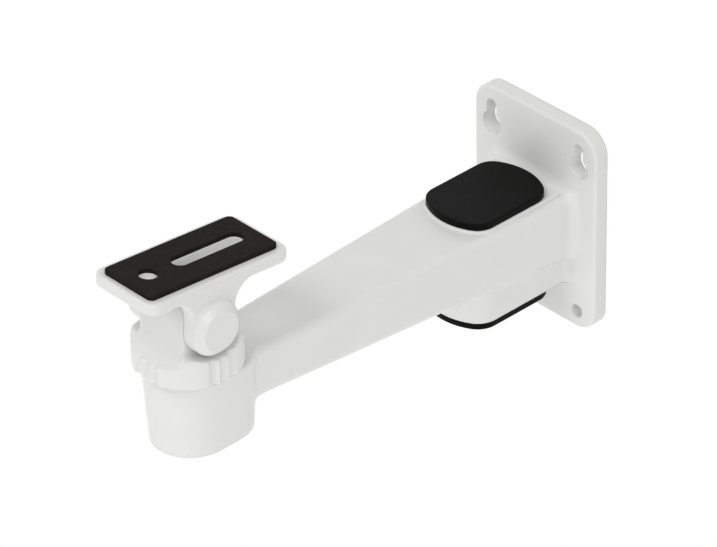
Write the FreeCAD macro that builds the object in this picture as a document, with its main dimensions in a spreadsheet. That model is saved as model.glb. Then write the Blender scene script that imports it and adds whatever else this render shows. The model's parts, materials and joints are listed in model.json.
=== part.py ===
import FreeCAD, Part
import math
import os
import re
import Sketcher

doc = FreeCAD.newDocument("camera_bracket")
sheet = doc.addObject("Spreadsheet::Sheet", "Sizes")

# Driving dimensions in mm and degrees. The origin is the centre of the wall plate's back face,
# the arm reaches along -Y and Z is up.
driving = [
    ("PlateWidth", 70),
    ("PlateHeight", 96),
    ("PlateThickness", 6.8),
    ("PlateCorner", 10.8),
    ("PlateEdge", 1.4),
    ("RecessDepth", 3.2),
    ("RecessRim", 4),
    ("HoleSpacing", 50),
    ("KeyholeHeight", 38.6),
    ("KeyholeDrop", 8.2),
    ("KeyholeNeck", 2.75),
    ("KeyholeEye", 5),
    ("ScrewHoleDrop", 40),
    ("ScrewHoleRadius", 2.95),
    ("ArmTop", 16),
    ("ArmRootHalf", 23.3),
    ("ArmRootDrop", 15.2),
    ("ArmTipHalf", 13.4),
    ("ArmTipDrop", 7.6),
    ("ArmTipInset", 16),
    ("ArmUpperEdge", 3),
    ("ArmLowerEdge", 5),
    ("ArmWall", 3.4),
    ("CoreInset", 30),
    ("CoreStart", 1),
    ("RootFillet", 5),
    ("CollarRise", 1.2),
    ("CollarMargin", 1.2),
    ("CollarEdge", 0.7),
    ("HouseDrop", 27.5),
    ("HouseWall", 3.2),
    ("HouseFillet", 4),
    ("CableWall", 4.6),
    ("CapReach", 35.5),
    ("CapHalfWidth", 17.6),
    ("CapLength", 48.4),
    ("CapEndRadius", 26.2),
    ("CapCorner", 8.9),
    ("CapHeight", 3.1),
    ("CapEdge", 1.1),
    ("CapLedge", 3.2),
    ("CapClearance", 0.15),
    ("SkirtDepth", 3.6),
    ("SkirtWall", 1.4),
    ("HookWidth", 12),
    ("HookReach", 0.7),
    ("HookDepth", 2.2),
    ("SwivelReach", 198),
    ("CupLength", 10.7),
    ("CupRadius", 18.7),
    ("CupDraftAngle", 3),
    ("CupDrop", 18.4),
    ("CupEdge", 1.3),
    ("CupFillet", 4),
    ("CupWall", 3),
    ("CupRoof", 5),
    ("RingThickness", 1.2),
    ("RingRadius", 17),
    ("RingPlay", 0.3),
    ("BaseRadius", 22.3),
    ("DiscHeight", 19.5),
    ("RimHeight", 8.7),
    ("SaddleReach", 17),
    ("RimEdge", 0.9),
    ("LipEdge", 3),
    ("TongueEdge", 0.6),
    ("BaseChamfer", 0.4),
    ("SaddleAngle", 58),
    ("SaddleRadius", 5),
    ("ScoopRadius", 4),
    ("TiltHeight", 24.4),
    ("TiltForward", 1.5),
    ("TongueRadius", 12),
    ("TongueHalf", 12.9),
    ("ScallopHeight", 11.2),
    ("ScallopRadius", 30),
    ("FluteRadius", 2.6),
    ("FluteDepth", 1.15),
    ("FluteAngle", 12),
    ("FluteGroups", 4),
    ("FluteTurnAngle", -2),
    ("SpigotRadius", 9),
    ("SpigotGap", 0.5),
    ("RunningFit", 0.08),
    ("PanShank", 4),
    ("PanHeadFlat", 13),
    ("PanHeadHeight", 5.3),
    ("PanThreadReach", 18),
    ("PanHoleSpare", 2.5),
    ("PanWasherRadius", 12),
    ("PanWasherThickness", 1.6),
    ("PanSpringRadius", 7.2),
    ("PanSpringThickness", 2),
    ("TiltShownAngle", 5),
    ("PlatformRise", 20.6),
    ("PlatformThickness", 5.2),
    ("PlatformHalf", 17.9),
    ("PlatformLength", 72.4),
    ("PlatformShift", 3.7),
    ("PlatformCorner", 5.5),
    ("PlatformEdge", 1),
    ("CheekGap", 0.2),
    ("CheekRadius", 11.7),
    ("CheekEdge", 0.8),
    ("FrontFlare", 8.8),
    ("RearFlare", 10),
    ("SlotHalf", 3.3),
    ("SlotFront", 2.6),
    ("SlotBack", 25.8),
    ("PinHoleReach", 18.9),
    ("PinHoleRadius", 3.5),
    ("PadHalf", 14.2),
    ("PadLength", 66),
    ("PadShift", 3.2),
    ("PadThickness", 2),
    ("PadEdge", 0.4),
    ("PadCorner", 2.4),
    ("PadMargin", 0.4),
    ("TiltShank", 3),
    ("TiltHeadFlat", 10),
    ("TiltHeadHeight", 4),
    ("TiltNutHeight", 5),
    ("TiltWasherRadius", 6),
    ("TiltWasherThickness", 1.2),
    ("TiltSpringRadius", 5.3),
    ("TiltSpringThickness", 1.4),
    ("SpringGapAngle", 12),
    ("ShankPlay", 0.2),
    ("HexPlay", 0.1),
    ("CounterRadius", 8.25),
    ("SpannerRadius", 7.7),
    ("HeadSeatDepth", 3.3),
    ("NutSeatDepth", 3),
    ("CapSeatDepth", 1.5),
    ("ShankEnd", 1),
    ("BossFace", 8.7),
    ("BossHeight", 4.6),
    ("BossSeat", 2),
    ("BossShoulder", 3.3),
    ("BossWaist", 10.6),
    ("BossStraight", 1.2),
    ("BossRoot", 2.4),
    ("BossWall", 1),
    ("BossEdge", 0.3),
    ("BossBore", 7),
    ("BossPlay", 0.1),
]
for row, (alias, size) in enumerate(driving, start=1):
    sheet.set(f"A{row}", alias)
    sheet.set(f"B{row}", str(size))
    sheet.setAlias(f"B{row}", alias)
doc.recompute()


def full(text):
    """The expression with the sheet's name before each size."""
    return re.sub(r"\b([A-Z][A-Za-z]+)\b", r"Sizes.\1", str(text))


def number(text):
    return float(sheet.evalExpression(full(text)))


def new_body(label):
    body = doc.addObject("PartDesign::Body", label)
    body.Label = label
    return body


def new_sketch(body, role, offset="0"):
    """A sketch on one of the body's own planes, moved along the plane's normal."""
    sketch = body.newObject("Sketcher::SketchObject", body.Label + "_sketch")
    support = next(f for f in body.Origin.OriginFeatures if f.Role == role)
    sketch.AttachmentSupport = (support, "")
    sketch.MapMode = "FlatFace"
    sketch.setExpression(".AttachmentOffset.Base.z", full(offset))
    return sketch


def hold(sketch, kind, geometry, point, text):
    """A dimension of the sketch bound to the sheet."""
    place = [geometry] if point is None else [geometry, point]
    index = sketch.addConstraint(Sketcher.Constraint(kind, *place, number(text)))
    sketch.setExpression(f"Constraints[{index}]", full(text))


def outline(sketch, points):
    """A closed outline. A point is (x, y) after a straight line, or (x, y, radius, side) after an arc
    whose centre is to the left (side 1) or right (side -1) of the way there."""
    places = [FreeCAD.Vector(number(p[0]), number(p[1]), 0) for p in points]
    count = len(points)
    ends = []
    for i in range(count):
        start, finish, target = places[i - 1], places[i], points[i]
        if len(target) == 2:
            index = sketch.addGeometry(Part.LineSegment(start, finish), False)
            ends.append((index, 1, 2))
            continue
        radius, side = number(target[2]), target[3]
        chord = finish - start
        across = FreeCAD.Vector(-chord.y, chord.x, 0).normalize()
        rise = math.sqrt(max(radius**2 - (chord.Length / 2) ** 2, 0))
        centre = (start + finish) / 2 + across * rise * side
        first, last = (start, finish) if side > 0 else (finish, start)
        turn = [math.atan2(p.y - centre.y, p.x - centre.x) for p in (first, last)]
        if turn[1] < turn[0]:
            turn[1] += 2 * math.pi
        circle = Part.Circle(centre, FreeCAD.Vector(0, 0, 1), radius)
        index = sketch.addGeometry(Part.ArcOfCircle(circle, turn[0], turn[1]), False)
        ends.append((index, 1, 2) if side > 0 else (index, 2, 1))
    for i in range(count):
        following = ends[(i + 1) % count]
        meeting = Sketcher.Constraint("Coincident", ends[i][0], ends[i][2], following[0], following[1])
        sketch.addConstraint(meeting)
        hold(sketch, "DistanceX", ends[i][0], ends[i][2], points[i][0])
        hold(sketch, "DistanceY", ends[i][0], ends[i][2], points[i][1])
        if len(points[i]) > 2:
            hold(sketch, "Radius", ends[i][0], None, points[i][2])


def circle(sketch, x, y, radius):
    centre = FreeCAD.Vector(number(x), number(y), 0)
    index = sketch.addGeometry(Part.Circle(centre, FreeCAD.Vector(0, 0, 1), number(radius)), False)
    hold(sketch, "DistanceX", index, 3, x)
    hold(sketch, "DistanceY", index, 3, y)
    hold(sketch, "Radius", index, None, radius)


def rounded_box(sketch, left, right, low, high, lower, upper):
    """A rectangle whose lower and upper corners have radii of their own."""
    outline(
        sketch,
        [
            (f"{left} + {lower}", low),
            (f"{right} - ({lower})", low),
            (right, f"{low} + {lower}", lower, 1),
            (right, f"{high} - ({upper})"),
            (f"{right} - ({upper})", high, upper, 1),
            (f"{left} + {upper}", high),
            (left, f"{high} - ({upper})", upper, 1),
            (left, f"{low} + {lower}"),
            (f"{left} + {lower}", low, lower, 1),
        ][1:],
    )


def plain_box(sketch, left, right, low, high):
    outline(sketch, [(left, low), (right, low), (right, high), (left, high)])


def obround(sketch, radius, near, far):
    """Two half rounds on the line x = 0, joined by straight sides along y."""
    outline(
        sketch,
        [
            (radius, near, radius, 1),
            (radius, far),
            ("0", f"{far} + {radius}", radius, 1),
            (f"-({radius})", far, radius, 1),
            (f"-({radius})", near),
            ("0", f"{near} - ({radius})", radius, 1),
        ],
    )


def barrel_points(margin, centre, closed_end=True):
    """Outline of the cable caps, widened by a margin: straight sides, bowed ends and round corners.
    Without its closed end the sides run on to the wall plate."""
    half = f"(CapHalfWidth + {margin})"
    bow = f"(CapEndRadius + {margin})"
    corner = f"(CapCorner + {margin})"
    reach = f"sqrt(({bow} - {corner})^2 - ({half} - {corner})^2)"
    middle = f"(CapLength / 2 - CapEndRadius)"
    side = f"({middle} + {reach})"
    turn_x = f"({bow} * ({half} - {corner}) / ({bow} - {corner}))"
    turn_y = f"({middle} + {bow} * {reach} / ({bow} - {corner}))"
    front = [
        (f"-{half}", f"{centre} - {side}"),
        (f"-{turn_x}", f"{centre} - {turn_y}", corner, 1),
        (turn_x, f"{centre} - {turn_y}", bow, 1),
        (half, f"{centre} - {side}", corner, 1),
    ]
    if not closed_end:
        return front
    return front + [
        (half, f"{centre} + {side}"),
        (turn_x, f"{centre} + {turn_y}", corner, 1),
        (f"-{turn_x}", f"{centre} + {turn_y}", bow, 1),
        (f"-{half}", f"{centre} + {side}", corner, 1),
    ]


def extrude(body, kind, sketch, length, reverse=False):
    """A Pad or Pocket, checked to have changed the solid."""
    before = body.Shape.Volume if body.Tip else 0
    feature = body.newObject("PartDesign::" + kind, body.Label + "_" + kind)
    feature.Profile = sketch
    feature.setExpression("Length", full(length))
    feature.Reversed = reverse
    doc.recompute()
    changed = feature.Shape.Volume - before
    if changed * (1 if kind == "Pad" else -1) <= 0:
        raise ValueError(f"{feature.Name} of {sketch.Name} changes nothing")
    return feature


def loft(body, kind, profile, section):
    feature = body.newObject("PartDesign::" + kind, body.Label + "_" + kind)
    feature.Profile = profile
    feature.Sections = [section]
    feature.Ruled = True
    doc.recompute()
    return feature


def turned(body, sketch, role="Z_Axis", turn=360):
    feature = body.newObject("PartDesign::Revolution", body.Label + "_turned")
    feature.Profile = sketch
    feature.ReferenceAxis = (next(f for f in body.Origin.OriginFeatures if f.Role == role), [""])
    feature.Angle = turn
    doc.recompute()
    return feature


def edges(feature, test):
    return [f"Edge{i}" for i, edge in enumerate(feature.Shape.Edges, start=1) if test(edge)]


def dress(body, kind, size, test):
    """A Fillet or Chamfer on the edges of the body's last feature that pass the test."""
    base = body.Tip
    names = edges(base, test)
    feature = body.newObject("PartDesign::" + kind, body.Label + "_" + kind)
    feature.Base = (base, names)
    feature.setExpression("Radius" if kind == "Fillet" else "Size", full(size))
    doc.recompute()
    if not names or feature.State != ["Up-to-date"] and "Invalid" in feature.State:
        raise ValueError(f"{feature.Name} of size {size} found {len(names)} edges and failed")
    return feature


def flat_at(edge, axis, place, slack=0.01):
    """Whether the whole edge lies at one place along an axis."""
    low, high = getattr(edge.BoundBox, axis + "Min"), getattr(edge.BoundBox, axis + "Max")
    return abs(low - place) < slack and abs(high - place) < slack


def within(edge, axis, low, high):
    return getattr(edge.BoundBox, axis + "Min") > low and getattr(edge.BoundBox, axis + "Max") < high


# Places that several pieces share
cap_seat = "(ArmTop + CollarRise)"
base_seat = "(ArmTop + RingThickness)"
cup_floor = "(-CupDrop)"
pan_stack = "(-RingThickness - CupRoof)"
cup_far = "(-SwivelReach + CupLength)"
arm_tip = "(SwivelReach - ArmTipInset)"
core_tip = "(SwivelReach - CoreInset)"
foot_radius = "(CupRadius - (ArmTop + CupDrop) * tan(CupDraftAngle * 1 deg))"


def house_walls(body):
    """Test for the edges where the cable housing meets the arm's underside and the plate."""
    half = number("CapHalfWidth + CollarMargin + CapClearance")
    reach = -number("CapReach + CapLength / 2 + CollarMargin + CapClearance")
    face = -number("PlateThickness")
    root_low = -number("ArmRootDrop + RootFillet + CapClearance")
    roof = -number("(ArmRootDrop + ArmTipDrop) / 2")

    def test(edge):
        box = edge.BoundBox
        if not (within(edge, "X", -half, half) and within(edge, "Y", reach, face + 0.1)):
            return False
        upright = flat_at(edge, "Y", face) and box.ZMax - box.ZMin > number("HouseWall") / 2
        return box.ZMax < roof and (upright or box.ZMin > root_low)

    return test


def make_arm_casting():
    """Wall plate, hollow tapered arm, cable housing and front cup in one casting."""
    body = new_body("arm_casting")
    top = number("ArmTop")
    rim = new_sketch(body, "XY_Plane", "ArmTop")
    obround(rim, "CupRadius", "-SwivelReach", cup_far)
    cup = extrude(body, "Pad", rim, "ArmTop + CupDrop", True)
    cup.setExpression("TaperAngle", full("-CupDraftAngle"))
    doc.recompute()
    dress(body, "Fillet", "CupEdge", lambda e: flat_at(e, "Z", top))

    root = new_sketch(body, "XZ_Plane", "PlateThickness / 2")
    rounded_box(root, "-ArmRootHalf", "ArmRootHalf", "-ArmRootDrop", "ArmTop", "ArmLowerEdge", "ArmUpperEdge")
    tip = new_sketch(body, "XZ_Plane", arm_tip)
    rounded_box(tip, "-ArmTipHalf", "ArmTipHalf", "-ArmTipDrop", "ArmTop", "ArmLowerEdge", "ArmUpperEdge")
    loft(body, "AdditiveLoft", root, tip)

    plate = new_sketch(body, "XZ_Plane")
    half, tall, corner = "PlateWidth / 2", "PlateHeight / 2", "PlateCorner"
    rounded_box(plate, f"-{half}", half, f"-{tall}", tall, corner, corner)
    extrude(body, "Pad", plate, "PlateThickness")
    face = -number("PlateThickness")
    slack = number("ArmUpperEdge / 2")
    arm_half, under = number("ArmRootHalf") + slack, -number("ArmRootDrop") - slack

    def at_root(edge):
        return within(edge, "X", -arm_half, arm_half) and within(edge, "Z", under, top + slack)

    dress(body, "Fillet", "PlateEdge", lambda e: flat_at(e, "Y", face) and not at_root(e))
    dress(body, "Fillet", "RootFillet", lambda e: flat_at(e, "Y", face) and at_root(e))

    house = new_sketch(body, "XY_Plane", "-HouseDrop")
    sides = [("CapHalfWidth + CollarMargin", "-PlateThickness / 2"),
             ("-CapHalfWidth - CollarMargin", "-PlateThickness / 2")]
    outline(house, barrel_points("CollarMargin", "-CapReach", False) + sides)
    extrude(body, "Pad", house, "HouseDrop + ArmTop - CollarRise")
    corners = house_walls(body)
    dress(body, "Fillet", "HouseFillet", corners)

    collar = new_sketch(body, "XY_Plane", "ArmTop - CollarRise")
    back = "-(PlateThickness + RootFillet - CollarMargin)"
    sides = [("CapHalfWidth + CollarMargin", back), ("-CapHalfWidth - CollarMargin", back)]
    outline(collar, barrel_points("CollarMargin", "-CapReach", False) + sides)
    extrude(body, "Pad", collar, "2 * CollarRise")
    seat = number(cap_seat)
    dress(body, "Chamfer", "CollarEdge", lambda e: flat_at(e, "Z", seat))
    dress(body, "Fillet", "CupFillet", cup_joint)
    core_casting(body)
    drill_casting(body)
    return body


def cup_joint(edge):
    """Test for the edges where the arm's sides and underside run into the cup."""
    rear = number(f"{cup_far} + CupRadius")
    low = -number(f"ArmTipDrop + (ArmRootDrop - ArmTipDrop) / 5")
    top = number("ArmTop - CupEdge * 2")
    behind = within(edge, "Y", rear - number("CupRadius / 2"), rear + number("CupFillet"))
    return behind and within(edge, "Z", low, top)


def core_casting(body):
    """Hollow arm open at the wall, hollow cable housing, cable openings and the cup's cavity."""
    wide, drop = "ArmRootHalf - ArmWall", "ArmRootDrop - ArmWall"
    ceiling = f"{cap_seat} - CableWall"
    share = f"({core_tip} - PlateThickness / 2) / ({arm_tip} - PlateThickness / 2)"
    far_wide = f"({wide} - (ArmRootHalf - ArmTipHalf) * {share})"
    far_drop = f"({drop} - (ArmRootDrop - ArmTipDrop) * {share})"
    root = new_sketch(body, "XZ_Plane", "-CoreStart")
    plain_box(root, f"-({wide})", wide, f"-({drop})", ceiling)
    tip = new_sketch(body, "XZ_Plane", core_tip)
    plain_box(tip, f"-{far_wide}", far_wide, f"-{far_drop}", ceiling)
    loft(body, "SubtractiveLoft", root, tip)

    inner = "CollarMargin - HouseWall"
    house = new_sketch(body, "XY_Plane", "CableWall - HouseDrop")
    sides = [(f"CapHalfWidth + {inner}", "CoreStart"), (f"-(CapHalfWidth + {inner})", "CoreStart")]
    outline(house, barrel_points(f"({inner})", "-CapReach", False) + sides)
    extrude(body, "Pocket", house, "HouseDrop - CableWall", True)

    for level, up in ((cap_seat, False), ("-HouseDrop", True)):
        opening = new_sketch(body, "XY_Plane", level)
        outline(opening, barrel_points("-CapLedge", "-CapReach"))
        extrude(body, "Pocket", opening, "CableWall + CollarRise", up)

    cavity = new_sketch(body, "XY_Plane", cup_floor)
    obround(cavity, f"({foot_radius} - CupWall)", "-SwivelReach", cup_far)
    extrude(body, "Pocket", cavity, "CupDrop + ArmTop - CupRoof", True)
    pivot = new_sketch(body, "XY_Plane", "ArmTop")
    circle(pivot, "0", "-SwivelReach", "SpigotRadius + RunningFit")
    extrude(body, "Pocket", pivot, "CupRoof")


def drill_casting(body):
    """Keyholes, screw holes and the two shallow recesses in the back of the plate."""
    for way in ("-", ""):
        x = f"({way}HoleSpacing / 2)"
        rise = "sqrt(KeyholeEye^2 - KeyholeNeck^2)"
        eye = "(KeyholeHeight - KeyholeDrop)"
        keyhole = new_sketch(body, "XZ_Plane")
        outline(keyhole, [
            (f"{x} - KeyholeNeck", f"{eye} + {rise}"),
            (x, f"{eye} - KeyholeEye", "KeyholeEye", 1),
            (f"{x} + KeyholeNeck", f"{eye} + {rise}", "KeyholeEye", 1),
            (f"{x} + KeyholeNeck", "KeyholeHeight"),
            (x, "KeyholeHeight + KeyholeNeck", "KeyholeNeck", 1),
            (f"{x} - KeyholeNeck", "KeyholeHeight", "KeyholeNeck", 1),
        ])
        extrude(body, "Pocket", keyhole, "PlateThickness", True)
        screw = new_sketch(body, "XZ_Plane")
        circle(screw, x, "-ScrewHoleDrop", "ScrewHoleRadius")
        extrude(body, "Pocket", screw, "PlateThickness", True)
    wide = "(HoleSpacing / 2 - KeyholeEye - RecessRim)"
    end = "PlateHeight / 2 - RecessRim"
    for low, high in (("ArmTop + RecessRim", end), (f"-({end})", "-(HouseDrop + RecessRim)")):
        recess = new_sketch(body, "XZ_Plane")
        plain_box(recess, f"-{wide}", wide, low, high)
        extrude(body, "Pocket", recess, "RecessDepth", True)


def make_cable_cap(label, level, way):
    """Rounded cover with a skirt and two snap legs. The way is 1 above the arm and -1 below it."""
    body = new_body(label)
    down = way > 0
    cover = new_sketch(body, "XY_Plane", level)
    outline(cover, barrel_points("0", "-CapReach"))
    extrude(body, "Pad", cover, "CapHeight", not down)
    outside = number(f"{level} + {way} * CapHeight")
    dress(body, "Chamfer", "CapEdge", lambda e: flat_at(e, "Z", outside))
    skirt = new_sketch(body, "XY_Plane", level)
    outline(skirt, barrel_points("-(CapLedge + CapClearance)", "-CapReach"))
    outline(skirt, barrel_points("-(CapLedge + CapClearance + SkirtWall)", "-CapReach"))
    extrude(body, "Pad", skirt, "SkirtDepth", down)
    legs = new_sketch(body, "XZ_Plane", "CapReach - HookWidth / 2")
    out = "(CapHalfWidth - CapLedge - CapClearance)"
    into = f"({out} - SkirtWall)"
    under = f"{level} - {way} * (CableWall + CapClearance)"
    for side in ("-", ""):
        outline(legs, [
            (f"{side}{into}", level),
            (f"{side}{out}", level),
            (f"{side}{out}", under),
            (f"{side}({out} + HookReach)", under),
            (f"{side}({out} - SkirtWall / 2)", f"{under} - {way} * HookDepth"),
            (f"{side}{into}", f"{under} - {way} * HookDepth"),
        ])
    extrude(body, "Pad", legs, "HookWidth")
    return body


def ring(label, role, start, height, inner, outer, turn=360):
    """A flat ring about an axis of the body: start and height run along the axis."""
    body = new_body(label)
    section = new_sketch(body, "XZ_Plane" if role == "Z_Axis" else "XY_Plane")
    along, away = (start, f"{start} + {height}"), (inner, outer)
    if role == "Z_Axis":
        points = [(away[0], along[0]), (away[1], along[0]), (away[1], along[1]), (away[0], along[1])]
    else:
        points = [(along[0], away[0]), (along[1], away[0]), (along[1], away[1]), (along[0], away[1])]
    outline(section, points)
    turned(body, section, role, turn)
    return body


def hexagon(sketch, flats):
    corner = f"({flats}) / sqrt(3)"
    outline(sketch, [(f"{corner} * cos({60 * i} deg)", f"{corner} * sin({60 * i} deg)") for i in range(6)])


def at_pan(body):
    """Puts a body's own axis Z on the pan axis, with Z = 0 at the seat of the swivel base."""
    body.setExpression("Placement.Base.y", full("-SwivelReach"))
    body.setExpression("Placement.Base.z", full(base_seat))


def at_tilt(body):
    """Puts a body's own axis X on the tilt axis, turned as the platform stands."""
    nod = FreeCAD.Rotation(FreeCAD.Vector(1, 0, 0), -number("TiltShownAngle"))
    body.Placement = FreeCAD.Placement(FreeCAD.Vector(), nod)
    body.setExpression("Placement.Base.y", full("-SwivelReach - TiltForward"))
    body.setExpression("Placement.Base.z", full(f"{base_seat} + TiltHeight"))


def make_swivel_base():
    """Round base with grooved edge, saddle and tongue, and a spigot that turns in the cup's roof."""
    body = new_body("swivel_base")
    disc = new_sketch(body, "XY_Plane")
    circle(disc, "0", "0", "BaseRadius")
    extrude(body, "Pad", disc, "DiscHeight")

    axis = "-TiltForward"
    slope = "(SaddleAngle * 1 deg)"
    sine, cosine = f"sin{slope}", f"cos{slope}"
    crossing = f"(RimHeight + (SaddleReach - TongueRadius) * tan{slope})"
    tangent = f"(SaddleRadius * tan((90 deg - {slope}) / 2))"
    toe = f"(ScoopRadius * tan({slope} / 2))"
    beyond = "(BaseRadius + TiltForward + 1)"
    top = "DiscHeight + 1"
    # The lip is a round that meets the slope and the scallop without an edge
    across = f"(SaddleReach - LipEdge * {sine})"
    below = f"(RimHeight - LipEdge * {cosine} - ScallopHeight - ScallopRadius)"
    along = f"({across} * {cosine} - {below} * {sine})"
    climb = f"({along} - sqrt({along}^2 - {across}^2 - {below}^2 + (ScallopRadius + LipEdge)^2))"
    share = "(ScallopRadius / (ScallopRadius + LipEdge))"
    lip_out = f"(({across} - {climb} * {cosine}) * {share})"
    lip_up = f"(ScallopHeight + ScallopRadius + ({below} + {climb} * {sine}) * {share})"

    def foot(sign, turn):
        return [
            (f"{axis} {sign} (SaddleReach + {toe})", "RimHeight"),
            (f"{axis} {sign} (SaddleReach - {toe} * {cosine})", f"RimHeight + {toe} * {sine}",
             "ScoopRadius", turn),
        ]

    for sign, turn in (("-", 1), ("+", -1)):
        saddle = new_sketch(body, "YZ_Plane", "-TongueHalf")
        outline(saddle, [
            (f"{axis} {sign} {beyond}", "RimHeight"),
            *foot(sign, turn),
            (f"{axis} {sign} (TongueRadius + {tangent} * {cosine})", f"{crossing} - {tangent} * {sine}"),
            (f"{axis} {sign} TongueRadius", f"{crossing} + {tangent}", "SaddleRadius", turn),
            (f"{axis} {sign} TongueRadius", top),
            (f"{axis} {sign} {beyond}", top),
        ])
        extrude(body, "Pocket", saddle, "2 * TongueHalf", True)
    for start in ("TongueHalf", "-(BaseRadius + 1)"):
        scallop = new_sketch(body, "YZ_Plane", start)
        lip = [(f"{axis} - (SaddleReach - {climb} * {cosine})", f"RimHeight + {climb} * {sine}"),
               (f"{axis} - {lip_out}", lip_up, "LipEdge", -1),
               (f"{axis} + {lip_out}", lip_up, "ScallopRadius", 1),
               (f"{axis} + (SaddleReach - {climb} * {cosine})", f"RimHeight + {climb} * {sine}",
                "LipEdge", -1)]
        rear = foot("+", 1)
        outline(scallop, [
            (f"{axis} - {beyond}", "RimHeight"),
            *foot("-", 1),
            *lip,
            (rear[1][0], rear[1][1]),
            (rear[0][0], rear[0][1], "ScoopRadius", 1),
            (f"{axis} + {beyond}", "RimHeight"),
            (f"{axis} + {beyond}", top),
            (f"{axis} - {beyond}", top),
        ])
        extrude(body, "Pocket", scallop, "BaseRadius + 1 - TongueHalf", True)

    tongue = new_sketch(body, "YZ_Plane", "-TongueHalf")
    outline(tongue, [
        (f"{axis} + TongueRadius", "DiscHeight - 1"),
        (f"{axis} + TongueRadius", "TiltHeight"),
        (axis, "TiltHeight + TongueRadius", "TongueRadius", 1),
        (f"{axis} - TongueRadius", "TiltHeight", "TongueRadius", 1),
        (f"{axis} - TongueRadius", "DiscHeight - 1"),
    ])
    extrude(body, "Pad", tongue, "2 * TongueHalf")
    radius = number("BaseRadius")
    dress(body, "Chamfer", "TongueEdge", tongue_edge)
    dress(body, "Chamfer", "RimEdge", lambda e: rim_edge(e, radius))
    dress(body, "Chamfer", "BaseChamfer", lambda e: flat_at(e, "Z", 0))
    flute_base(body)

    spigot = new_sketch(body, "XY_Plane")
    circle(spigot, "0", "0", "SpigotRadius")
    extrude(body, "Pad", spigot, "RingThickness + CupRoof - SpigotGap", True)
    thread = new_sketch(body, "XY_Plane", "SpigotGap - RingThickness - CupRoof")
    circle(thread, "0", "0", "PanShank + HexPlay")
    extrude(body, "Pocket", thread, "PanThreadReach + PanHoleSpare", True)
    bore = new_sketch(body, "YZ_Plane", "-TongueHalf")
    circle(bore, axis, "TiltHeight", "TiltShank + RunningFit")
    extrude(body, "Pocket", bore, "2 * TongueHalf", True)
    at_pan(body)
    return body


def rim_edge(edge, radius):
    """Whether an edge belongs to the upper end of the round outer wall."""
    if edge.BoundBox.ZMin < number("RimHeight") - 0.01:
        return False
    first, span = edge.FirstParameter, edge.LastParameter - edge.FirstParameter
    places = [edge.valueAt(first + span * i / 4) for i in range(5)]
    return all(abs(math.hypot(p.x, p.y) - radius) < 0.01 for p in places)


def tongue_edge(edge):
    """Whether an edge belongs to the outline of the tongue's two flat sides, above the scallops."""
    half = number("TongueHalf")
    high = edge.BoundBox.ZMax > number("TiltHeight") - 0.1
    beside = flat_at(edge, "X", half) or flat_at(edge, "X", -half)
    return high and beside and edge.BoundBox.ZMin > number("DiscHeight") - 1.5


def flute_base(body):
    """Groups of three shallow grooves around the base."""
    flutes = new_sketch(body, "XY_Plane")
    away = "(BaseRadius + FluteRadius - FluteDepth)"
    for step in (-1, 0, 1):
        angle = f"((FluteTurnAngle + {step} * FluteAngle) * 1 deg)"
        circle(flutes, f"{away} * sin{angle}", f"-{away} * cos{angle}", "FluteRadius")
    cut = extrude(body, "Pocket", flutes, "DiscHeight + 1", True)
    around = body.newObject("PartDesign::PolarPattern", body.Label + "_around")
    around.Originals = [cut]
    around.Axis = (next(f for f in body.Origin.OriginFeatures if f.Role == "Z_Axis"), [""])
    around.Angle = 360
    around.setExpression("Occurrences", full("FluteGroups"))
    body.Tip = around
    doc.recompute()


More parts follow.
